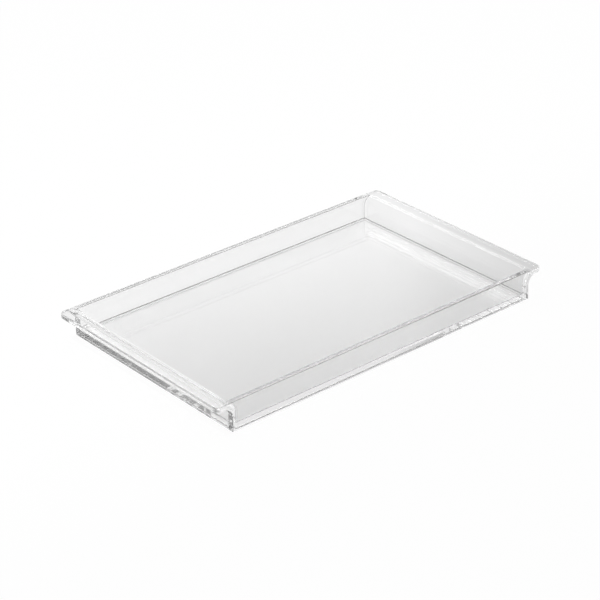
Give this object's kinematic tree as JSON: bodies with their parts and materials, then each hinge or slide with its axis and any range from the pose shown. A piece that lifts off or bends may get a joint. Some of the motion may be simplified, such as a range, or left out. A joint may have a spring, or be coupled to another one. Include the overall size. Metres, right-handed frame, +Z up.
{
  "type": "vanity tray",
  "caption": "Clear acrylic vanity tray: a low rectangular tray whose end walls bend outwards at the top into flat rounded grips.",
  "frame": {"origin": "on the table under the tray's centre: centre of the bounding box's bottom face", "axes": "+X along the tray from the left grip to the right grip, +Y across it to the back wall, +Z up"},
  "size_m": [0.3048, 0.1784, 0.0227],
  "materials": {
    "acrylic": "polished",
    "cement": "polished"
  },
  "bodies": {
    "root": {"floor_panel": "acrylic", "front_wall": "acrylic", "back_wall": "acrylic", "left_end_wall": "acrylic", "right_end_wall": "acrylic", "floor_cement": "cement", "corner_cement": "cement"}
  },
  "joints": []
}
